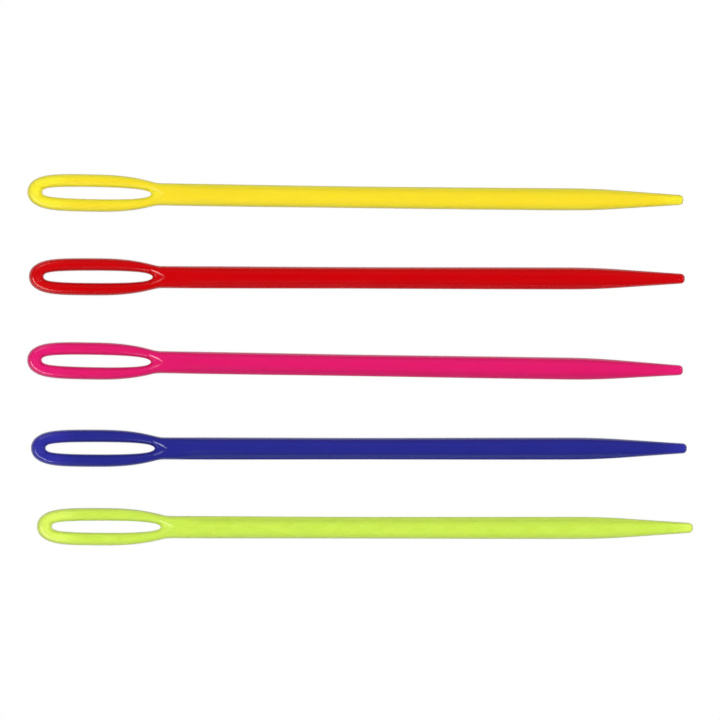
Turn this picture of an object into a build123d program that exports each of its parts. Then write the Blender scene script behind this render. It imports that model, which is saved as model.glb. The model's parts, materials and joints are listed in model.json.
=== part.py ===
from build123d import *
import math
import os

# A set of five loose plastic yarn needles, side by side on a table, in millimetres.
# Each needle is one moulding. It is drawn with its eye end at X zero and its tip towards +X,
# level about Z zero, and then laid in its row with its underside on the table.
# Its solid is in two simple forms that meet face to face past the V: the eye end and the shank.

# Overall length, and the widths of the shank at the neck, at its waist and at its hip, with the
# shares of its straight run at which the last two lie
needle_length = 90.0
neck_width = 2.98
shank_width = 2.89
hip_width = 2.94
waist_share = 0.42
hip_share = 0.88

# Shank thickness, its long edges, and the ramp up to it from the thinner eye end
shank_thickness = 2.2
shank_edge_radius = 0.9
ramp_length = 5.0

# Eye end, seen from above
eye_width = 5.0
eye_thickness = 2.0
eye_edge_radius = 0.8
widest_at = 9.3
nose_radius = 1.87
nose_sweep = 50
nose_handle_share = 0.2
shoulder_handle_share = 0.59
belly_handle_share = 0.4
neck_handle_share = 0.284

# Neck, a hollow curve from the eye end's slope to the shank, which starts just past the hole
neck_lag = 0.15
neck_radius = 5.0
neck_slope = 14.7
neck_margin = 0.4

# Hole of the eye at the parting plane, with a narrow upright land
nose_wall = 2.0
hole_length = 14.95
hole_width = 1.72
land_height = 0.24
hole_front_rise_share = 0.64
hole_front_run_share = 0.93
hole_back_rise_share = 0.79
hole_back_run_share = 0.67

# Crest where the hole's rounded wall meets the flat faces: the share of each strand that the wall
# takes, and the V that the crest ends in on the shank
crest_share = 0.48
vee_length = 1.85
vee_run_share = 0.23
vee_slope_share = 0.731
crest_front_rise_share = 0.72
crest_front_run_share = 0.85
crest_back_run_share = 0.44
wall_lean = 88
wall_steps = 5

# Blunt tip
taper_length = 12.4
taper_soft_run = 7.0
taper_steps = 5
tip_width = 1.15
tip_thickness = 1.0
tip_edge_radius = 0.4
tip_round = 0.34

# Rows on the table, from the back: shares of the row pitch across and of the end step along
colours = ["yellow", "red", "magenta", "blue", "lime"]
row_pitch = 11.33
end_step = 1.0
row_shares = [2.03, 1.01, 0.0, -1.07, -2.02]
end_shares = [0.04, 0.24, 0.0, 0.52, 1.35]
turn_angles = [-0.72, -0.19, -0.91, -0.03, -0.13]

# Overrun of every cut past the faces that it goes through
overrun = 1.0

# Places along one needle that follow from its sizes
hole_end = nose_wall + hole_length
vee_end = hole_end + vee_length
neck_start = hole_end + neck_lag
neck_end = neck_start + neck_radius * math.sin(math.radians(neck_slope))
shank_start = max(vee_end, neck_end) + neck_margin
ramp_end = shank_start + ramp_length
taper_corner = needle_length - taper_length
taper_start = taper_corner - taper_soft_run / 2
waist_at = ramp_end + (taper_start - ramp_end) * waist_share
hip_at = ramp_end + (taper_start - ramp_end) * hip_share


def closed_face(upper_edges):
    # a face between edges above the needle's centre line and their mirror image below it
    lower_edges = [edge.mirror(Plane.XZ) for edge in upper_edges]
    return make_face(upper_edges + lower_edges)


def eye_plan():
    half_width = eye_width / 2
    nose = JernArc(start=(0, 0), tangent=(0, 1), radius=nose_radius, arc_size=-nose_sweep)
    front_run = widest_at - (nose @ 1).X
    shoulder = Bezier(
        nose @ 1,
        nose @ 1 + (nose % 1) * front_run * nose_handle_share,
        (widest_at - front_run * shoulder_handle_share, half_width),
        (widest_at, half_width),
    )
    slope = math.radians(neck_slope)
    back_run = neck_start - widest_at
    neck_half = neck_width / 2 + neck_radius * (1 - math.cos(slope))
    neck_handle = back_run * neck_handle_share
    belly = Bezier(
        (widest_at, half_width),
        (widest_at + back_run * belly_handle_share, half_width),
        (neck_start - neck_handle, neck_half + neck_handle * math.tan(slope)),
        (neck_start, neck_half),
    )
    neck = JernArc(start=belly @ 1, tangent=belly % 1, radius=neck_radius, arc_size=neck_slope)
    side = Line(neck @ 1, (shank_start, (neck @ 1).Y))
    end = Line(side @ 1, (shank_start, 0))
    return closed_face([nose, shoulder, belly, neck, side, end])


def hole_points():
    half_width = hole_width / 2
    front_run = widest_at - nose_wall
    back_run = hole_end - widest_at
    return [
        Vector(nose_wall, 0),
        Vector(nose_wall, half_width * hole_front_rise_share),
        Vector(widest_at - front_run * hole_front_run_share, half_width),
        Vector(widest_at, half_width),
        Vector(widest_at + back_run * hole_back_run_share, half_width),
        Vector(hole_end, half_width * hole_back_rise_share),
        Vector(hole_end, 0),
    ]


def crest_points():
    crest_start = nose_wall * (1 - crest_share)
    strand_width = (eye_width - hole_width) / 2
    half_width = hole_width / 2 + strand_width * crest_share
    front_run = widest_at - crest_start
    back_run = vee_end - widest_at
    vee_run = back_run * vee_run_share
    return [
        Vector(crest_start, 0),
        Vector(crest_start, half_width * crest_front_rise_share),
        Vector(widest_at - front_run * crest_front_run_share, half_width),
        Vector(widest_at, half_width),
        Vector(widest_at + back_run * crest_back_run_share, half_width),
        Vector(vee_end - vee_run, vee_run * vee_slope_share),
        Vector(vee_end, 0),
    ]


def opening_plan(share):
    # the opening between the hole, at share 0, and the crest, at share 1
    points = [hole + (crest - hole) * share for hole, crest in zip(hole_points(), crest_points())]
    return closed_face([Bezier(*points[:4]), Bezier(*points[3:])])


def opening_cut():
    # an upright land at the parting plane, then a wall that leans out on an arc to the crest, both ways
    half_land = land_height / 2
    wall_height = eye_thickness / 2 - half_land
    lean = math.radians(wall_lean)
    rings = []
    for step in range(wall_steps + 1):
        turn = lean * step / wall_steps
        out_share = (1 - math.cos(turn)) / (1 - math.cos(lean))
        height = half_land + wall_height * math.sin(turn) / math.sin(lean)
        rings.append(Pos(0, 0, height) * opening_plan(out_share))
    land = extrude(opening_plan(0), amount=eye_thickness / 2, both=True)
    mouth = Pos(0, 0, eye_thickness / 2) * extrude(opening_plan(1), amount=overrun)
    upper = loft(rings, ruled=True) + mouth
    return land + upper + mirror(upper, Plane.XY)


def eye_end():
    blank = extrude(eye_plan(), amount=eye_thickness / 2, both=True)
    meeting_face = blank.faces().sort_by(Axis.X)[-1]
    flat_faces = blank.faces().filter_by(Axis.Z)
    rims = [edge for edge in flat_faces.edges() if edge not in meeting_face.edges()]
    return fillet(rims, eye_edge_radius) - opening_cut()


def shank_section(x, width, thickness, edge_radius):
    return Plane.YZ.offset(x) * RectangleRounded(width, thickness, edge_radius)


def taper_section(x):
    # the shank's sides turn softly into the straight taper, on a parabola about its corner
    if x < taper_start + taper_soft_run:
        done = (x - taper_start) ** 2 / (2 * taper_soft_run) / taper_length
    else:
        done = (x - taper_corner) / taper_length
    width = hip_width + (tip_width - hip_width) * done
    thickness = shank_thickness + (tip_thickness - shank_thickness) * done
    edge_radius = shank_edge_radius + (tip_edge_radius - shank_edge_radius) * done
    return shank_section(x, width, thickness, edge_radius)


def shank():
    soft_step = taper_soft_run / taper_steps
    sections = [
        shank_section(shank_start, neck_width, eye_thickness, eye_edge_radius),
        shank_section(ramp_end, neck_width, shank_thickness, shank_edge_radius),
        shank_section(waist_at, shank_width, shank_thickness, shank_edge_radius),
        shank_section(hip_at, hip_width, shank_thickness, shank_edge_radius),
    ]
    sections += [taper_section(taper_start + step * soft_step) for step in range(taper_steps + 1)]
    sections.append(taper_section(needle_length))
    rod = loft(sections, ruled=True)
    tip_face = rod.faces().sort_by(Axis.X)[-1]
    return fillet(tip_face.edges(), tip_round)


needle = Compound(eye_end().solids() + shank().solids())
laid_needles = []
for row_share, end_share, turn_angle in zip(row_shares, end_shares, turn_angles):
    place = Pos(end_step * end_share, row_pitch * row_share, shank_thickness / 2)
    laid_needles.append(place * Rot(0, 0, turn_angle) * needle)

# The origin is the middle of the set's footprint on the table
boxes = [laid_needle.bounding_box() for laid_needle in laid_needles]
middle_x = (min(box.min.X for box in boxes) + max(box.max.X for box in boxes)) / 2
middle_y = (min(box.min.Y for box in boxes) + max(box.max.Y for box in boxes)) / 2
to_origin = Pos(-middle_x, -middle_y, 0)

os.makedirs("parts", exist_ok=True)
for colour, laid_needle in zip(colours, laid_needles):
    export_step(to_origin * laid_needle, "parts/" + colour + "_needle.step")
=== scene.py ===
import json
import math
import bpy
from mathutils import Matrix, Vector


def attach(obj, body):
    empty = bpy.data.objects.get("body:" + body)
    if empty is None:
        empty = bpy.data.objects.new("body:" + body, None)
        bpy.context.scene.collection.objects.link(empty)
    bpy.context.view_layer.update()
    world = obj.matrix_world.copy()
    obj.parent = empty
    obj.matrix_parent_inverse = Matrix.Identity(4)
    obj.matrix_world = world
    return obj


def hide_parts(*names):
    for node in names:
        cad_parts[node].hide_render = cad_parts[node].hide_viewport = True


# Five plastic yarn needles lying in a row, seen from straight above, in metres.
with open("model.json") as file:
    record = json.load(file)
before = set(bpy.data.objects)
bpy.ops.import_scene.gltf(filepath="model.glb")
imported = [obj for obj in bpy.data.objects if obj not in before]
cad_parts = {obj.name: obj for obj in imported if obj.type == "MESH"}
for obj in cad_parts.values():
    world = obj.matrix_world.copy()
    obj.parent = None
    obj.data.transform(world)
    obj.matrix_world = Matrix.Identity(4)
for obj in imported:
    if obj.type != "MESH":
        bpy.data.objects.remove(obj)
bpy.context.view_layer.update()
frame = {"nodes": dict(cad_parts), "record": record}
mm = 0.001
print("frame loaded:", sorted(frame["nodes"]))


# Small helpers for curves and node trees

def cubicPoint(handles, t):
    # a point on a cubic curve with four handles, each an (x, y) pair
    weights = ((1 - t) ** 3, 3 * t * (1 - t) ** 2, 3 * t * t * (1 - t), t ** 3)
    return tuple(sum(weight * handle[axis] for weight, handle in zip(weights, handles)) for axis in (0, 1))


def mix(a, b, share):
    return a + (b - a) * share


def smooth(share):
    share = min(max(share, 0), 1)
    return share * share * (3 - 2 * share)


def addNode(tree, kind, inputs=None, **settings):
    # one node with its settings, and each input either linked or given a value
    node = tree.nodes.new(kind)
    for name, value in settings.items():
        setattr(node, name, value)
    for socket, value in (inputs or {}).items():
        if isinstance(value, bpy.types.NodeSocket):
            tree.links.new(value, node.inputs[socket])
        else:
            node.inputs[socket].default_value = value
    return node


def calculate(tree, operation, a, b=0.0, c=0.0):
    return addNode(tree, "ShaderNodeMath", {0: a, 1: b, 2: c}, operation=operation).outputs[0]


# Camera, straight above the row with a long lens

camera = {
    "fieldWidth": 98.85 * mm, "lens": 200, "sensorWidth": 36, "aimHeight": 1.1 * mm,
    "nearest": 0.01, "farthest": 20,
}


def makeCamera():
    data = bpy.data.cameras.new("rowCamera")
    data.lens = camera["lens"]
    data.sensor_width = camera["sensorWidth"]
    data.clip_start = camera["nearest"]
    data.clip_end = camera["farthest"]
    seen = bpy.data.objects.new("rowCamera", data)
    bpy.context.scene.collection.objects.link(seen)
    distance = camera["fieldWidth"] * camera["lens"] / camera["sensorWidth"]
    seen.location = (0, 0, camera["aimHeight"] + distance)
    bpy.context.scene.camera = seen


makeCamera()
bpy.context.scene.view_settings.view_transform = "Standard"
print("camera set")


# Table, lamps and world

table = {"size": 4.0, "drop": 0.01 * mm, "seen": 0.95, "bounce": 0.3, "whiteShare": 0.85}
skyGlow = {  # strengths of the world where the gloss shows it, and soft is its strength where it lights
    "front": 0.02, "back": 0.08, "lowFront": 1.0, "lowBack": 0.12, "soft": 0.07,
    "lowTop": 0.22, "highFade": 0.96, "sideBlend": 0.15,  # places on a sky of radius 1
}
lamps = {  # turn is anticlockwise from +X and lift above the table, in degrees
    "overhead": {"turn": 90, "lift": 90, "away": 0.9, "size": (0.35, 0.35), "power": 8.5, "shine": False},
    "frontStrip": {"turn": 220, "lift": 38, "away": 0.8, "size": (0.8, 0.14), "power": 4.0, "shine": True},
    "backStrip": {"turn": 124, "lift": 38, "away": 0.8, "size": (0.3, 0.12), "power": 0.45, "shine": True},
    "rightStrip": {"turn": 20, "lift": 38, "away": 0.8, "size": (0.8, 0.12), "power": 1.7, "shine": True},
}


def whiteToEyes(tree):
    # 1 on rays that come from the camera, from gloss or through glass
    path = addNode(tree, "ShaderNodeLightPath")
    seen = calculate(tree, "MAXIMUM", path.outputs["Is Camera Ray"], path.outputs["Is Glossy Ray"])
    return calculate(tree, "MAXIMUM", seen, path.outputs["Is Transmission Ray"])


def makeTable():
    half, low = table["size"] / 2, -table["drop"]
    mesh = bpy.data.meshes.new("tableTop")
    corners = [(-half, -half, low), (half, -half, low), (half, half, low), (-half, half, low)]
    mesh.from_pydata(corners, [], [(0, 1, 2, 3)])
    top = bpy.data.objects.new("tableTop", mesh)
    bpy.context.scene.collection.objects.link(top)
    material = bpy.data.materials.new("white table")
    material.use_nodes = True
    tree = material.node_tree
    tree.nodes.clear()
    eyes = whiteToEyes(tree)
    grey = addNode(tree, "ShaderNodeMapRange", {
        "Value": eyes, "To Min": table["bounce"], "To Max": table["seen"]}).outputs[0]
    matt = addNode(tree, "ShaderNodeBsdfDiffuse", {"Color": grey})
    white = addNode(tree, "ShaderNodeEmission", {"Color": (1, 1, 1, 1), "Strength": 1.0})
    share = calculate(tree, "MULTIPLY", eyes, table["whiteShare"])
    both = addNode(tree, "ShaderNodeMixShader", {0: share, 1: matt.outputs[0], 2: white.outputs[0]})
    addNode(tree, "ShaderNodeOutputMaterial", {"Surface": both.outputs[0]})
    mesh.materials.append(material)


def makeLamp(name, spec):
    data = bpy.data.lights.new(name, "AREA")
    data.shape = "RECTANGLE"
    data.size, data.size_y = spec["size"]
    data.energy = spec["power"]
    lamp = bpy.data.objects.new(name, data)
    bpy.context.scene.collection.objects.link(lamp)
    turn, lift = math.radians(spec["turn"]), math.radians(spec["lift"])
    towards = Vector((math.cos(turn) * math.cos(lift), math.sin(turn) * math.cos(lift), math.sin(lift)))
    lamp.location = towards * spec["away"]
    lamp.rotation_euler = (-towards).to_track_quat("-Z", "Y").to_euler()
    lamp.visible_glossy = spec["shine"]  # the overhead lamp lights, the strips only shine in the gloss
    lamp.visible_diffuse = not spec["shine"]
    data.cycles.use_multiple_importance_sampling = spec["shine"]  # or the overhead lamp leaks into the gloss


def makeSky():
    # white to the camera, dim where it lights, and in the gloss dark but for a low band in front of the row
    world = bpy.data.worlds.new("studio")
    bpy.context.scene.world = world
    world.use_nodes = True
    tree = world.node_tree
    tree.nodes.clear()
    direction = addNode(tree, "ShaderNodeTexCoord").outputs["Generated"]
    parts = addNode(tree, "ShaderNodeSeparateXYZ", {0: direction})
    side, low = [addNode(tree, "ShaderNodeMapRange", {
        "Value": parts.outputs["Y"], "From Min": -skyGlow["sideBlend"], "From Max": skyGlow["sideBlend"],
        "To Min": skyGlow[front], "To Max": skyGlow[back]}, interpolation_type="SMOOTHSTEP").outputs[0]
        for front, back in (("front", "back"), ("lowFront", "lowBack"))]
    high = addNode(tree, "ShaderNodeMapRange", {
        "Value": parts.outputs["Z"], "From Min": skyGlow["highFade"], "From Max": 1.0,
        "To Min": side, "To Max": 0.0}, interpolation_type="SMOOTHSTEP").outputs[0]
    strength = addNode(tree, "ShaderNodeMapRange", {
        "Value": parts.outputs["Z"], "From Min": 0.0, "From Max": skyGlow["lowTop"],
        "To Min": low, "To Max": high}, interpolation_type="SMOOTHSTEP").outputs[0]
    path = addNode(tree, "ShaderNodeLightPath").outputs
    strength = addNode(tree, "ShaderNodeMapRange", {
        "Value": path["Is Glossy Ray"], "To Min": skyGlow["soft"], "To Max": strength}).outputs[0]
    strength = addNode(tree, "ShaderNodeMapRange", {
        "Value": path["Is Camera Ray"], "To Min": strength, "To Max": 1.0}).outputs[0]
    world.cycles.sampling_method = "NONE"  # or the kinds of ray aren't told apart
    glow = addNode(tree, "ShaderNodeBackground", {"Color": (1, 1, 1, 1), "Strength": strength})
    addNode(tree, "ShaderNodeOutputWorld", {"Surface": glow.outputs[0]})


makeTable()
for lampName, lampSpec in lamps.items():
    makeLamp(lampName, lampSpec)
makeSky()
print("table, lamps and world made")


# Needle's sizes

needle = {
    "length": 90 * mm, "eyeHalfWidth": 2.54 * mm, "widestAt": 9.3 * mm,
    "eyeHalfThickness": 1.0 * mm, "shankHalfThickness": 1.1 * mm, "rimReach": 0.96,
    "eyeRim": 0.8 * mm, "noseRim": 0.98 * mm, "noseRun": 5 * mm, "shankRim": 1.05 * mm,
    "noseRadius": 1.87 * mm, "noseSweep": 50, "noseHandle": 0.2, "shoulderHandle": 0.59,
    "bellyHandle": 0.45, "neckHandle": 0.284, "neckRadius": 5 * mm, "neckSlope": 14.7, "neckLag": 0.15 * mm,
    "neckHalf": 1.5 * mm, "waistHalf": 1.46 * mm, "hipHalf": 1.49 * mm, "waistAt": 45 * mm, "hipAt": 68 * mm,
    "rampStart": 19.2 * mm, "rampEnd": 24.2 * mm, "lagFade": 19.2 * mm,
    "taperLength": 12.4 * mm, "taperSoft": 7 * mm,
    "tipHalf": 0.63 * mm, "tipHalfThickness": 0.5 * mm, "tipRim": 0.4 * mm,
    "tipCorner": 0.55 * mm, "tipCrest": 0.6,
}


# Moulded plastic

plastics = {  # the third colour is a painted glow: lighter at the nose and the tip, standing in for light through thin plastic, and painted light down the sides by each colour's own share
    "yellow": {
        "colour": (0.947, 0.745, 0.026), "shade": (0.930, 0.715, 0.021), "thin": (0.975, 0.850, 0.036),
        "edge": 1.0, "milk": 0.4, "roughness": 0.32, "seed": 1.0},
    "red": {
        "colour": (0.602, 0.0006, 0.0026), "shade": (0.575, 0.0004, 0.0022), "thin": (0.625, 0.0010, 0.0030),
        "edge": 0.0, "milk": 0.0, "roughness": 0.21, "seed": 2.0},
    "magenta": {
        "colour": (0.760, 0.0115, 0.150), "shade": (0.730, 0.0100, 0.140), "thin": (0.800, 0.0115, 0.175),
        "edge": 0.1, "milk": 0.1, "roughness": 0.21, "seed": 3.0},
    "blue": {
        "colour": (0.0215, 0.0240, 0.268), "shade": (0.0190, 0.0215, 0.248), "thin": (0.0300, 0.0300, 0.345),
        "edge": 0.0, "milk": 0.0, "roughness": 0.21, "seed": 4.0},
    "lime": {
        "colour": (0.618, 0.841, 0.093), "shade": (0.590, 0.815, 0.084), "thin": (0.730, 0.930, 0.130),
        "edge": 0.7, "milk": 0.3, "roughness": 0.27, "seed": 5.0},
}
gloss = {"ior": 1.49, "milkReach": 0.6 * mm, "milkTint": (1.0, 1.0, 0.4)}
# where the painted glow comes in: near the nose and the tip, and down the sides from the top
glowAt = {"nose": (7.0 * mm, 3.0 * mm), "tip": (86 * mm, 90 * mm), "edge": (1.02 * mm, 0.7 * mm)}
moulding = {  # clouds tint the colour, smears change the roughness, and the skin is a fine bump
    "stretch": (0.25, 1, 1), "cloudScale": 320, "cloudDetail": 3, "cloudRough": 0.6,
    "cloudRange": (0.35, 0.75), "smearScale": 900, "smearDetail": 2, "smearRange": (0.3, 0.7),
    "smearShares": (0.85, 1.2),
    "skinScale": 4200, "skinDetail": 2, "skinStrength": 0.03, "skinDepth": 0.02 * mm,
}


def makeMouldedGroup():
    # colour clouds, a painted glow at the nose, the tip and the sides, roughness and a fine skin of moulded
    # plastic, along each needle's own length
    tree = bpy.data.node_groups.new("moulded plastic", "ShaderNodeTree")
    sockets = tree.interface
    for name, kind, value in (
            ("Colour", "NodeSocketColor", (0.5, 0.5, 0.5, 1)),
            ("Shade", "NodeSocketColor", (0.4, 0.4, 0.4, 1)),
            ("Thin", "NodeSocketColor", (0.6, 0.6, 0.6, 1)), ("Edge", "NodeSocketFloat", 0.0),
            ("Roughness", "NodeSocketFloat", 0.25), ("Seed", "NodeSocketFloat", 0.0)):
        sockets.new_socket(name=name, in_out="INPUT", socket_type=kind).default_value = value
    for name, kind in (
            ("Colour", "NodeSocketColor"), ("Roughness", "NodeSocketFloat"), ("Height", "NodeSocketFloat")):
        sockets.new_socket(name=name, in_out="OUTPUT", socket_type=kind)
    given = addNode(tree, "NodeGroupInput")
    place = addNode(tree, "ShaderNodeAttribute", attribute_name="needlePlace").outputs["Vector"]
    stretched = addNode(tree, "ShaderNodeMapping", {"Vector": place, "Scale": moulding["stretch"]}).outputs[0]
    clouds = addNode(tree, "ShaderNodeTexNoise", {
        "Vector": stretched, "W": given.outputs["Seed"], "Scale": moulding["cloudScale"],
        "Detail": moulding["cloudDetail"], "Roughness": moulding["cloudRough"]},
        noise_dimensions="4D").outputs["Fac"]
    thinnest, thickest = moulding["cloudRange"]
    cloudShare = addNode(tree, "ShaderNodeMapRange", {
        "Value": clouds, "From Min": thinnest, "From Max": thickest}).outputs[0]
    tinted = addNode(tree, "ShaderNodeMix", {
        "Factor": cloudShare, 6: given.outputs["Colour"], 7: given.outputs["Shade"]}, data_type="RGBA")
    # painted glow: the colour lightens towards the nose, the tip and down the sides, standing in for light
    # through translucent plastic
    along = addNode(tree, "ShaderNodeSeparateXYZ", {0: place}).outputs
    taperStart = needle["length"] - needle["taperLength"]
    lower = addNode(tree, "ShaderNodeMapRange", {
        "Value": along["X"], "From Min": taperStart, "From Max": needle["length"],
        "To Max": needle["shankHalfThickness"] - needle["tipHalfThickness"]}).outputs[0]
    level = calculate(tree, "ADD", calculate(tree, "ABSOLUTE", along["Z"]), lower)  # as if without a taper
    nose, tip, edge = [addNode(tree, "ShaderNodeMapRange", {
        "Value": value, "From Min": glowAt[name][0], "From Max": glowAt[name][1]},
        interpolation_type="SMOOTHSTEP").outputs[0] for name, value in (
            ("nose", along["X"]), ("tip", along["X"]), ("edge", level))]
    ends = calculate(tree, "MAXIMUM", nose, tip)
    glowShare = calculate(tree, "MAXIMUM", ends, calculate(tree, "MULTIPLY", edge, given.outputs["Edge"]))
    tinted = addNode(tree, "ShaderNodeMix", {
        "Factor": glowShare, 6: tinted.outputs[2], 7: given.outputs["Thin"]}, data_type="RGBA")
    smear = addNode(tree, "ShaderNodeTexNoise", {
        "Vector": stretched, "W": given.outputs["Seed"], "Scale": moulding["smearScale"],
        "Detail": moulding["smearDetail"]}, noise_dimensions="4D").outputs["Fac"]
    rougher = addNode(tree, "ShaderNodeMapRange", {
        "Value": smear, "From Min": moulding["smearRange"][0], "From Max": moulding["smearRange"][1],
        "To Min": moulding["smearShares"][0], "To Max": moulding["smearShares"][1]}).outputs[0]
    roughness = calculate(tree, "MULTIPLY", given.outputs["Roughness"], rougher)
    skin = addNode(tree, "ShaderNodeTexNoise", {
        "Vector": place, "Scale": moulding["skinScale"], "Detail": moulding["skinDetail"]}).outputs["Fac"]
    addNode(tree, "NodeGroupOutput", {"Colour": tinted.outputs[2], "Roughness": roughness, "Height": skin})
    return tree


def makePlastic(colour, group):
    spec = plastics[colour]
    material = bpy.data.materials.new(colour + " plastic")
    material.use_nodes = True
    tree = material.node_tree
    tree.nodes.clear()
    moulded = addNode(tree, "ShaderNodeGroup", node_tree=group)
    for name in ("Colour", "Shade", "Thin"):
        moulded.inputs[name].default_value = (*spec[name.lower()], 1)
    for name in ("Edge", "Roughness", "Seed"):
        moulded.inputs[name].default_value = spec[name.lower()]
    skin = addNode(tree, "ShaderNodeBump", {
        "Height": moulded.outputs["Height"], "Strength": moulding["skinStrength"],
        "Distance": moulding["skinDepth"]})
    shader = addNode(tree, "ShaderNodeBsdfPrincipled", {
        "Base Color": moulded.outputs["Colour"], "Roughness": moulded.outputs["Roughness"],
        "Normal": skin.outputs[0], "IOR": gloss["ior"], "Subsurface Weight": spec["milk"],
        "Subsurface Radius": gloss["milkTint"], "Subsurface Scale": gloss["milkReach"]})
    addNode(tree, "ShaderNodeOutputMaterial", {"Surface": shader.outputs[0]})
    return material


mouldedGroup = makeMouldedGroup()
print("plastics ready")


# Four rails, each a line of paired stations along half a needle

eye = {
    "holeStart": 2.0 * mm, "holeEnd": 16.95 * mm, "holeHalf": 0.83 * mm, "halfLand": 0.12 * mm,
    "holeFrontRise": 0.64, "holeFrontRun": 0.93, "holeBackRise": 0.75, "holeBackRun": 0.67,
    "crestStart": 1.04 * mm, "crestHalf": 1.647 * mm, "veeEnd": 18.95 * mm, "veeRun": 0.23, "veeSlope": 0.731,
    "crestFrontRise": 0.72, "crestFrontRun": 0.85, "crestBackRun": 0.44,
    "holeRound": 0.5 * mm, "floorSlope": 0.06, "stepRun": 0.24 * mm, "stepRise": 0.115 * mm,
    "noseSeat": (2.0 * mm, 1.15 * mm), "veeSeat": (16.6 * mm, 17.3 * mm), "seatLand": 0.3 * mm,
    "seatChamfer": 1.0, "restRound": 0.93, "restStep": 0.03,
    "slantFrom": (0.8 * mm, 1.85 * mm), "slantRun": 2.2,
}
outlineSteps = 200  # close points on each curve of the outline
stations = {"front": 44, "back": 44, "ramp": 12, "shank": 32, "taper": 16, "corner": 9, "tipFace": 4}
rings = {"flat": 5, "rim": 6, "side": 3, "land": 1, "round": 5, "floor": 3, "step": 5}
ringPowers = {"flat": 1.5, "side": 0.6, "floor": 1.7, "round": 0.5}  # these crowd the rings towards one end


def outlineLine(front):
    # the outline from the nose to its widest place, or from there to the shank, as close points
    half, widest, steps = needle["eyeHalfWidth"], needle["widestAt"], outlineSteps
    if front:
        radius, sweep = needle["noseRadius"], math.radians(needle["noseSweep"])
        arc = [(radius * (1 - math.cos(sweep * i / steps)), radius * math.sin(sweep * i / steps))
               for i in range(steps)]
        startX, startY = radius * (1 - math.cos(sweep)), radius * math.sin(sweep)
        run = widest - startX
        reach = run * needle["noseHandle"]
        handles = ((startX, startY), (startX + reach * math.sin(sweep), startY + reach * math.cos(sweep)),
                   (widest - run * needle["shoulderHandle"], half), (widest, half))
        return arc + [cubicPoint(handles, i / steps) for i in range(steps + 1)]
    neckStart = eye["holeEnd"] + needle["neckLag"]
    slope, radius = math.radians(needle["neckSlope"]), needle["neckRadius"]
    run = neckStart - widest
    neckY = needle["neckHalf"] + radius * (1 - math.cos(slope))
    reach = run * needle["neckHandle"]
    handles = ((widest, half), (widest + run * needle["bellyHandle"], half),
               (neckStart - reach, neckY + reach * math.tan(slope)), (neckStart, neckY))
    belly = [cubicPoint(handles, i / steps) for i in range(steps)]
    neckEnd = neckStart + radius * math.sin(slope)
    arc = [(neckEnd - radius * math.sin(slope * (1 - i / steps)),
            needle["neckHalf"] + radius * (1 - math.cos(slope * (1 - i / steps)))) for i in range(steps)]
    return belly + arc + [(neckEnd, needle["neckHalf"]), (needle["rampStart"], needle["neckHalf"])]


def pointsAlong(line, shares):
    # the points at these shares of a line's length
    reached = [0.0]
    for (ax, ay), (bx, by) in zip(line, line[1:]):
        reached.append(reached[-1] + math.hypot(bx - ax, by - ay))
    points, i = [], 0
    for share in shares:
        goal = share * reached[-1]
        while i < len(line) - 2 and reached[i + 1] < goal:
            i += 1
        step = (goal - reached[i]) / (reached[i + 1] - reached[i])
        points.append(tuple(mix(line[i][axis], line[i + 1][axis], step) for axis in (0, 1)))
    return points


def lengthShares(points):
    reached = [0.0]
    for (ax, ay), (bx, by) in zip(points, points[1:]):
        reached.append(reached[-1] + math.hypot(bx - ax, by - ay))
    return [length / reached[-1] for length in reached]


def crestHandles(front):
    half, widest = eye["crestHalf"], needle["widestAt"]
    if front:
        run = widest - eye["crestStart"]
        return ((eye["crestStart"], 0), (eye["crestStart"], half * eye["crestFrontRise"]),
                (widest - run * eye["crestFrontRun"], half), (widest, half))
    run = eye["veeEnd"] - widest
    vee = run * eye["veeRun"]
    return ((widest, half), (widest + run * eye["crestBackRun"], half),
            (eye["veeEnd"] - vee, vee * eye["veeSlope"]), (eye["veeEnd"], 0))


def holeHandles(front):
    half, widest = eye["holeHalf"], needle["widestAt"]
    if front:
        run = widest - eye["holeStart"]
        return ((eye["holeStart"], 0), (eye["holeStart"], half * eye["holeFrontRise"]),
                (widest - run * eye["holeFrontRun"], half), (widest, half))
    run = eye["holeEnd"] - widest
    return ((widest, half), (widest + run * eye["holeBackRun"], half),
            (eye["holeEnd"], half * eye["holeBackRise"]), (eye["holeEnd"], 0))


def shankSize(x):
    # half width, half thickness and rim of the shank at x
    full = (needle["neckHalf"], needle["shankHalfThickness"], needle["shankRim"])
    if x < needle["rampEnd"]:
        share = smooth((x - needle["rampStart"]) / (needle["rampEnd"] - needle["rampStart"]))
        return (needle["neckHalf"], mix(needle["eyeHalfThickness"], full[1], share),
                mix(needle["eyeRim"], full[2], share))
    if x < needle["waistAt"]:
        share = smooth((x - needle["rampEnd"]) / (needle["waistAt"] - needle["rampEnd"]))
        return (mix(needle["neckHalf"], needle["waistHalf"], share), full[1], full[2])
    share = smooth((x - needle["waistAt"]) / (needle["hipAt"] - needle["waistAt"]))
    corner = needle["length"] - needle["taperLength"]
    soft = needle["taperSoft"]
    past = x - corner + soft / 2
    done = max(past, 0) ** 2 / (2 * soft) if past < soft else x - corner
    done /= needle["taperLength"]
    return (mix(mix(needle["waistHalf"], needle["hipHalf"], share), needle["tipHalf"], done),
            mix(full[1], needle["tipHalfThickness"], done), mix(full[2], needle["tipRim"], done))


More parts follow.
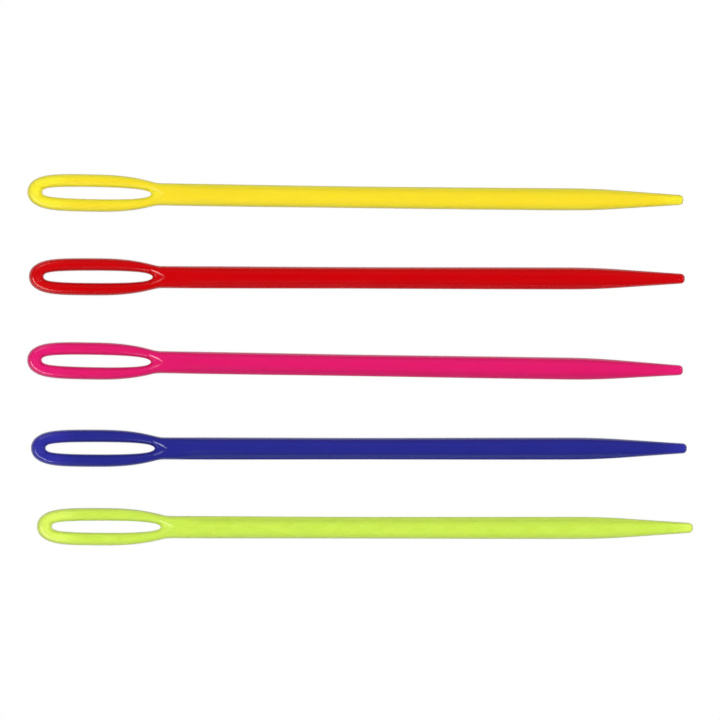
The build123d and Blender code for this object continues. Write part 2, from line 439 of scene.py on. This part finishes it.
def makeStations():
    # for each station its place on the axis or crest, on the outline and on the hole, with its heights
    found = []
    for front, count in ((True, stations["front"]), (False, stations["back"])):
        shares = [i / count for i in range(count)] + ([] if front else [1.0])
        crest = [cubicPoint(crestHandles(front), t) for t in shares]
        full = crest if not front else crest + [cubicPoint(crestHandles(front), 1.0)]
        outer = pointsAlong(outlineLine(front), lengthShares(full)[:len(crest)])
        hole = [cubicPoint(holeHandles(front), t) for t in shares]
        for c, o, h in zip(crest, outer, hole):
            rim = mix(needle["noseRim"], needle["eyeRim"], smooth(c[0] / needle["noseRun"]))
            rim = min(rim, needle["rimReach"] * math.dist(c, o))
            found.append({"crest": c, "outer": o, "hole": h, "high": needle["eyeHalfThickness"], "rim": rim})
    cornerX = needle["length"] - needle["tipCorner"]
    shankEnd = needle["length"] - needle["taperLength"] - needle["taperSoft"]
    runs = ((needle["rampStart"], needle["rampEnd"], stations["ramp"]),
            (needle["rampEnd"], shankEnd, stations["shank"]), (shankEnd, cornerX, stations["taper"]))
    lag = needle["rampStart"] - eye["veeEnd"]
    for start, end, count in runs:
        for i in range(count):
            x = mix(start, end, (i + 1) / count)
            half, high, rim = shankSize(x)
            axisX = x - lag * (1 - smooth((x - needle["rampStart"]) / needle["lagFade"]))
            found.append({"crest": (axisX, 0), "outer": (x, half), "high": high, "rim": rim})
    found[-1]["crest"] = (cornerX - needle["tipCrest"] * needle["tipCorner"], 0)
    half, high, rim = shankSize(cornerX)
    end = needle["length"] - needle["tipRim"]
    count = stations["corner"] + stations["tipFace"]
    for i in range(1, count + 1):
        angle = math.pi / 2 * min(i / stations["corner"], 1)
        y = half - needle["tipCorner"] * (1 - math.cos(angle))
        if i > stations["corner"]:
            y *= 1 - (i - stations["corner"]) / stations["tipFace"]
        x = cornerX + needle["tipCorner"] * math.sin(angle)
        crestX = mix(found[-1]["crest"][0], end, 1 / (count + 1 - i))
        found.append({"crest": (crestX, 0), "outer": (x, y), "high": needle["tipHalfThickness"],
                      "rim": needle["tipRim"]})
    return found


def outwardOf(outer, i):
    # the level direction out of the outline at a station; both ends lie on the needle's axis
    if i == 0:
        return (-1, 0)
    if i == len(outer) - 1:
        return (1, 0)
    (ax, ay), (bx, by) = outer[i - 1], outer[i + 1]
    run = math.hypot(bx - ax, by - ay)
    return (-(by - ay) / run, (bx - ax) / run)


def makeRail(name, points):
    data = bpy.data.curves.new(name, "CURVE")
    data.dimensions = "3D"
    spline = data.splines.new("POLY")
    spline.points.add(len(points) - 1)
    for point, place in zip(spline.points, points):
        point.co = (*place, 1)
    rail = bpy.data.objects.new(name, data)
    bpy.context.scene.collection.objects.link(rail)
    return rail


def makeRails():
    found = makeStations()
    outer = [station["outer"] for station in found]
    lines = {"hole": [], "crest": [], "shoulder": [], "outer": []}
    for i, station in enumerate(found):
        (ox, oy), (nx, ny) = station["outer"], outwardOf(outer, i)
        rim, high = station["rim"], station["high"]
        if "hole" in station:
            lines["hole"].append((*station["hole"], eye["halfLand"]))
        lines["crest"].append((*station["crest"], high))
        lines["shoulder"].append((ox - nx * rim, max(oy - ny * rim, 0), high))
        lines["outer"].append((ox, oy, high - rim))
    return {name: makeRail(name + "Rail", points) for name, points in lines.items()}


# Tree that lofts a quarter of the needle between its rails, mirrors it and finishes it

form = {
    "bead": 0.03 * mm, "beadMatch": 0.001, "mergeDistance": 0.001 * mm,
    "sink": 0.012 * mm, "sinkScale": 160, "sinkDetail": 1, "sinkMiddle": 0.6, "bowMiddle": 0.45,
    "leanStart": (18 * mm, 23 * mm), "leanEnd": (88 * mm, 80 * mm), "leanDepth": 0.8,
    "ridge": 0.2 * mm, "ridgeSoft": 0.3 * mm,
}


def makeNeedleTree(railCounts):
    tree = bpy.data.node_groups.new("needle between rails", "GeometryNodeTree")
    sockets = tree.interface
    sockets.new_socket(name="Geometry", in_out="INPUT", socket_type="NodeSocketGeometry")
    for name in ("Hole Rail", "Crest Rail", "Shoulder Rail", "Outer Rail"):
        sockets.new_socket(name=name, in_out="INPUT", socket_type="NodeSocketObject")
    for name in (
            "Length", "Hole Round", "Floor Slope", "Step Run", "Step Rise", "Bead", "Sink", "Bow", "Lean",
            "Turn", "Seed"):
        sockets.new_socket(name=name, in_out="INPUT", socket_type="NodeSocketFloat")
    sockets.new_socket(name="Place", in_out="INPUT", socket_type="NodeSocketVector")
    sockets.new_socket(name="Material", in_out="INPUT", socket_type="NodeSocketMaterial")
    sockets.new_socket(name="Geometry", in_out="OUTPUT", socket_type="NodeSocketGeometry")
    given = addNode(tree, "NodeGroupInput").outputs

    def vectorMath(operation, a, b=(0, 0, 0)):
        return addNode(tree, "ShaderNodeVectorMath", {0: a, 1: b}, operation=operation).outputs["Vector"]

    def scaled(vector, factor):
        return addNode(tree, "ShaderNodeVectorMath", {0: vector, 3: factor}, operation="SCALE").outputs[0]

    def mixed(factor, a, b):
        return addNode(tree, "ShaderNodeMix", {0: factor, 4: a, 5: b}, data_type="VECTOR").outputs[1]

    def split(vector):
        return addNode(tree, "ShaderNodeSeparateXYZ", {0: vector}).outputs

    def joined(x, y, z):
        return addNode(tree, "ShaderNodeCombineXYZ", {0: x, 1: y, 2: z}).outputs[0]

    def railPoint(name, station):
        rail = addNode(tree, "GeometryNodeObjectInfo", {"Object": given[name]}).outputs["Geometry"]
        place = addNode(tree, "GeometryNodeInputPosition").outputs[0]
        return addNode(tree, "GeometryNodeSampleIndex", {"Geometry": rail, "Value": place, "Index": station},
                       data_type="FLOAT_VECTOR", domain="POINT").outputs[0]

    def gridOf(stationCount, ringCount):
        # a grid with the index of each point's station and ring
        mesh = addNode(tree, "GeometryNodeMeshGrid", {"Vertices X": stationCount, "Vertices Y": ringCount})
        index = addNode(tree, "GeometryNodeInputIndex").outputs[0]
        station, ring = [
            addNode(tree, "FunctionNodeIntegerMath", {0: index, 1: ringCount}, operation=operation).outputs[0]
            for operation in ("DIVIDE_FLOOR", "MODULO")]
        return mesh.outputs[0], station, ring

    def stretch(ring, start, count):
        # 0 to 1 over the rings of one stretch of the section
        return addNode(tree, "ShaderNodeMapRange", {
            "Value": ring, "From Min": start, "From Max": start + count}).outputs[0]

    def moved(mesh, place):
        return addNode(tree, "GeometryNodeSetPosition", {"Geometry": mesh, "Position": place}).outputs[0]

    # band: flat face, quarter-round rim, upright side down to the parting line with its bead
    mesh, station, ring = gridOf(railCounts["outer"], rings["flat"] + rings["rim"] + rings["side"] + 1)
    flatShare = calculate(tree, "POWER", stretch(ring, 0, rings["flat"]), ringPowers["flat"])
    rimTurn = calculate(tree, "MULTIPLY", stretch(ring, rings["flat"], rings["rim"]), math.pi / 2)
    sideShare = stretch(ring, rings["flat"] + rings["rim"], rings["side"])
    sideShare = calculate(tree, "POWER", sideShare, ringPowers["side"])
    outer = railPoint("Outer Rail", station)
    shoulder = railPoint("Shoulder Rail", station)
    flat = mixed(flatShare, railPoint("Crest Rail", station), shoulder)
    out = mixed(calculate(tree, "SINE", rimTurn), flat, outer)
    rimHigh = calculate(tree, "MULTIPLY_ADD", calculate(tree, "COSINE", rimTurn),
                        calculate(tree, "SUBTRACT", split(flat)["Z"], split(outer)["Z"]), split(outer)["Z"])
    high = calculate(tree, "MULTIPLY", rimHigh, calculate(tree, "SUBTRACT", 1.0, sideShare))
    outward = vectorMath("MULTIPLY", vectorMath("SUBTRACT", outer, shoulder), (1, 1, 0))
    outward = vectorMath("NORMALIZE", outward)
    onBead = calculate(tree, "COMPARE", sideShare, 1.0, form["beadMatch"])
    beaded = vectorMath("ADD", out, scaled(outward, calculate(tree, "MULTIPLY", onBead, given["Bead"])))
    band = moved(mesh, joined(split(beaded)["X"], split(beaded)["Y"], high))

    # wall: upright land at the hole, round edge, sloping floor and a small step up to the crest
    wallRings = sum(rings[name] for name in ("land", "round", "floor", "step"))
    mesh, station, ring = gridOf(railCounts["hole"], wallRings + 1)
    hole, crest = railPoint("Hole Rail", station), railPoint("Crest Rail", station)
    apart = vectorMath("MULTIPLY", vectorMath("SUBTRACT", crest, hole), (1, 1, 0))
    width = addNode(tree, "ShaderNodeVectorMath", {0: apart}, operation="LENGTH").outputs["Value"]
    landShare = stretch(ring, 0, rings["land"])
    turnShare = stretch(ring, rings["land"], rings["round"])
    turn = calculate(tree, "MULTIPLY", turnShare, math.pi / 2)
    floorShare = stretch(ring, rings["land"] + rings["round"], rings["floor"])
    floorShare = calculate(tree, "POWER", floorShare, ringPowers["floor"])
    stepShare = stretch(ring, rings["land"] + rings["round"] + rings["floor"], rings["step"])
    seats = [addNode(tree, "ShaderNodeMapRange", {
        "Value": split(crest)["X"], "From Min": eye[name][0], "From Max": eye[name][1]},
        interpolation_type="SMOOTHSTEP").outputs[0] for name in ("noseSeat", "veeSeat")]
    seated = calculate(tree, "ADD", *seats)  # 1 at both ends, where floor and step show, and 0 between
    unseated = calculate(tree, "MULTIPLY", calculate(tree, "SUBTRACT", 1.0, seated), width)
    roundRun = calculate(tree, "MULTIPLY", seated, given["Hole Round"])
    roundRun = calculate(tree, "MULTIPLY_ADD", unseated, eye["restRound"], roundRun)
    # towards the tip of the V the wall is crossed at a slant, so its step runs wider
    slant = addNode(tree, "ShaderNodeMapRange", {
        "Value": width, "From Min": eye["slantFrom"][0], "From Max": eye["slantFrom"][1],
        "To Min": 1.0, "To Max": eye["slantRun"]}).outputs[0]
    stepRun = calculate(tree, "MULTIPLY", calculate(tree, "MULTIPLY", seated, slant), given["Step Run"])
    stepRun = calculate(tree, "MULTIPLY_ADD", unseated, eye["restStep"], stepRun)
    floorRun = calculate(tree, "SUBTRACT", width, calculate(tree, "ADD", roundRun, stepRun))
    chamfer = calculate(tree, "MULTIPLY", seated, eye["seatChamfer"])
    roundShare = calculate(tree, "POWER", turnShare, ringPowers["round"])
    arcs = (calculate(tree, "SUBTRACT", 1.0, calculate(tree, "COSINE", turn)), calculate(tree, "SINE", turn))
    outShare, upShare = [
        addNode(tree, "ShaderNodeMix", {0: chamfer, 2: arc, 3: roundShare}).outputs[0] for arc in arcs]
    far = calculate(tree, "MULTIPLY", roundRun, outShare)
    far = calculate(tree, "MULTIPLY_ADD", floorShare, floorRun, far)
    far = calculate(tree, "MULTIPLY_ADD", stepShare, stepRun, far)
    stepRise = calculate(tree, "MULTIPLY", seated, given["Step Rise"])
    floorRise = calculate(tree, "MULTIPLY", floorRun, seated)
    floorRise = calculate(tree, "MULTIPLY", floorRise, given["Floor Slope"])
    roundTop = calculate(tree, "SUBTRACT", split(crest)["Z"], calculate(tree, "ADD", stepRise, floorRise))
    landTop = calculate(tree, "MULTIPLY_ADD", seated, eye["seatLand"], split(hole)["Z"])
    high = calculate(tree, "MULTIPLY", landTop, landShare)
    high = calculate(tree, "MULTIPLY_ADD", upShare, calculate(tree, "SUBTRACT", roundTop, landTop), high)
    high = calculate(tree, "MULTIPLY_ADD", floorShare, floorRise, high)
    high = calculate(tree, "MULTIPLY_ADD", stepShare, stepRise, high)
    leaning = mixed(calculate(tree, "DIVIDE", far, width), hole, crest)
    wall = moved(mesh, joined(split(leaning)["X"], split(leaning)["Y"], high))

    # quarter, mirrored about the needle's axis and about its parting plane
    whole = addNode(tree, "GeometryNodeJoinGeometry")
    tree.links.new(band, whole.inputs[0])
    tree.links.new(wall, whole.inputs[0])
    whole = whole.outputs[0]
    for scale in ((1, -1, 1), (1, 1, -1)):
        other = addNode(tree, "GeometryNodeTransform", {"Geometry": whole, "Scale": scale}).outputs[0]
        turned = addNode(tree, "GeometryNodeFlipFaces", {"Mesh": other}).outputs[0]
        both = addNode(tree, "GeometryNodeJoinGeometry")
        tree.links.new(whole, both.inputs[0])
        tree.links.new(turned, both.inputs[0])
        whole = addNode(tree, "GeometryNodeMergeByDistance", {
            "Geometry": both.outputs[0], "Distance": form["mergeDistance"]}).outputs[0]
    fine = addNode(tree, "GeometryNodeSubdivisionSurface", {"Mesh": whole, "Level": 1}).outputs[0]
    fine = addNode(tree, "GeometryNodeSetShadeSmooth", {"Geometry": fine}).outputs[0]

    # the place along the needle stays as an attribute for the plastic's pattern
    place = addNode(tree, "GeometryNodeInputPosition").outputs[0]
    marked = addNode(tree, "GeometryNodeStoreNamedAttribute", {
        "Geometry": fine, "Name": "needlePlace", "Value": place},
        data_type="FLOAT_VECTOR", domain="POINT").outputs[0]

    # slight sinks of the moulding, then the bow of the shank and the needle's lie in its row
    waves = addNode(tree, "ShaderNodeTexNoise", {
        "Vector": place, "W": given["Seed"], "Scale": form["sinkScale"], "Detail": form["sinkDetail"]},
        noise_dimensions="4D").outputs[0]
    sunk = calculate(tree, "MULTIPLY", calculate(tree, "SUBTRACT", waves, form["sinkMiddle"]), given["Sink"])
    inward = scaled(addNode(tree, "GeometryNodeInputNormal").outputs[0], sunk)
    halfLength = calculate(tree, "MULTIPLY", given["Length"], 0.5)
    fromMiddle = calculate(tree, "SUBTRACT", calculate(tree, "DIVIDE", split(place)["X"], halfLength), 1.0)
    bowShare = calculate(tree, "MULTIPLY", fromMiddle, fromMiddle)
    bowShare = calculate(tree, "SUBTRACT", bowShare, form["bowMiddle"])
    bowed = joined(0.0, calculate(tree, "MULTIPLY", bowShare, given["Bow"]), 0.0)
    onShank = calculate(tree, "MULTIPLY", *[addNode(tree, "ShaderNodeMapRange", {
        "Value": split(place)["X"], "From Min": start, "From Max": end},
        interpolation_type="SMOOTHSTEP").outputs[0] for start, end in (form["leanStart"], form["leanEnd"])])
    onTop = addNode(tree, "ShaderNodeMapRange", {
        "Value": split(place)["Z"], "From Max": form["leanDepth"] * needle["shankHalfThickness"]},
        interpolation_type="SMOOTHSTEP").outputs[0]
    side = calculate(tree, "MULTIPLY", split(place)["Y"], calculate(tree, "SIGN", given["Lean"]))
    past = calculate(tree, "SMOOTH_MIN", calculate(tree, "ADD", side, form["ridge"]), 0.0, form["ridgeSoft"])
    fall = calculate(tree, "MULTIPLY", past, calculate(tree, "ABSOLUTE", given["Lean"]))
    fall = calculate(tree, "MULTIPLY", fall, calculate(tree, "MULTIPLY", onShank, onTop))
    moves = vectorMath("ADD", vectorMath("ADD", inward, bowed), joined(0.0, 0.0, fall))
    bent = addNode(tree, "GeometryNodeSetPosition", {"Geometry": marked, "Offset": moves}).outputs[0]
    laid = addNode(tree, "GeometryNodeTransform", {
        "Geometry": bent, "Translation": given["Place"],
        "Rotation": joined(0.0, 0.0, given["Turn"])}).outputs[0]
    real = addNode(tree, "GeometryNodeRealizeInstances", {"Geometry": laid}).outputs[0]
    painted = addNode(tree, "GeometryNodeSetMaterial", {"Geometry": real, "Material": given["Material"]})
    addNode(tree, "NodeGroupOutput", {"Geometry": painted.outputs[0]})
    return tree


# Needles in their rows

rows = {  # lean is the slope of the shank's top past its ridge, towards -Y where it is above zero
    "yellow": {"bow": 0.19 * mm, "lean": -0.1, "seed": 11.0},
    "red": {"bow": 0.04 * mm, "lean": 0.28, "seed": 12.0},
    "magenta": {"bow": 0.04 * mm, "lean": 0.24, "seed": 13.0},
    "blue": {"bow": 0.07 * mm, "lean": 0.42, "seed": 14.0},
    "lime": {"bow": 0.08 * mm, "lean": -0.28, "seed": 15.0},
}


def lieOf(colour):
    # the needle's turn and the place of its eye end, from its two mounts
    places = {mount["name"]: Vector(mount["pos_m"]) for mount in frame["record"]["mounts"]}
    eyePlace, restPlace = places[colour + "_eye"], places[colour + "_rest"]
    turn = math.atan2(restPlace.y - eyePlace.y, restPlace.x - eyePlace.x)
    end = eyePlace - Vector((math.cos(turn), math.sin(turn), 0)) * needle["widestAt"]
    return turn, end


def makeNeedle(colour, tree, rails, group):
    turn, end = lieOf(colour)
    shaper = bpy.data.objects.new("shaper", bpy.data.meshes.new("shaper"))
    bpy.context.scene.collection.objects.link(shaper)
    modifier = shaper.modifiers.new("needle", "NODES")
    modifier.node_group = tree
    values = {
        "Hole Rail": rails["hole"], "Crest Rail": rails["crest"], "Shoulder Rail": rails["shoulder"],
        "Outer Rail": rails["outer"], "Length": needle["length"], "Hole Round": eye["holeRound"],
        "Floor Slope": eye["floorSlope"], "Step Run": eye["stepRun"], "Step Rise": eye["stepRise"],
        "Bead": form["bead"], "Sink": form["sink"], "Bow": rows[colour]["bow"], "Lean": rows[colour]["lean"],
        "Seed": rows[colour]["seed"], "Turn": turn, "Place": end, "Material": makePlastic(colour, group),
    }
    for socket in tree.interface.items_tree:
        if socket.in_out == "INPUT" and socket.name in values:
            modifier[socket.identifier] = values[socket.name]
    shaped = shaper.evaluated_get(bpy.context.evaluated_depsgraph_get())
    mesh = bpy.data.meshes.new_from_object(shaped)
    mesh.name = colour + "Needle"
    bpy.data.objects.remove(shaper)
    piece = bpy.data.objects.new(colour + "Needle", mesh)
    bpy.context.scene.collection.objects.link(piece)
    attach(piece, colour)
    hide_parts(colour + "_needle")
    print(piece.name, "has", len(mesh.polygons), "faces")


rails = makeRails()
railCounts = {name: len(rail.data.splines[0].points) for name, rail in rails.items()}
needleTree = makeNeedleTree(railCounts)
for rowColour in rows:
    makeNeedle(rowColour, needleTree, rails, mouldedGroup)
for rail in rails.values():
    bpy.data.objects.remove(rail)
print("needles laid")
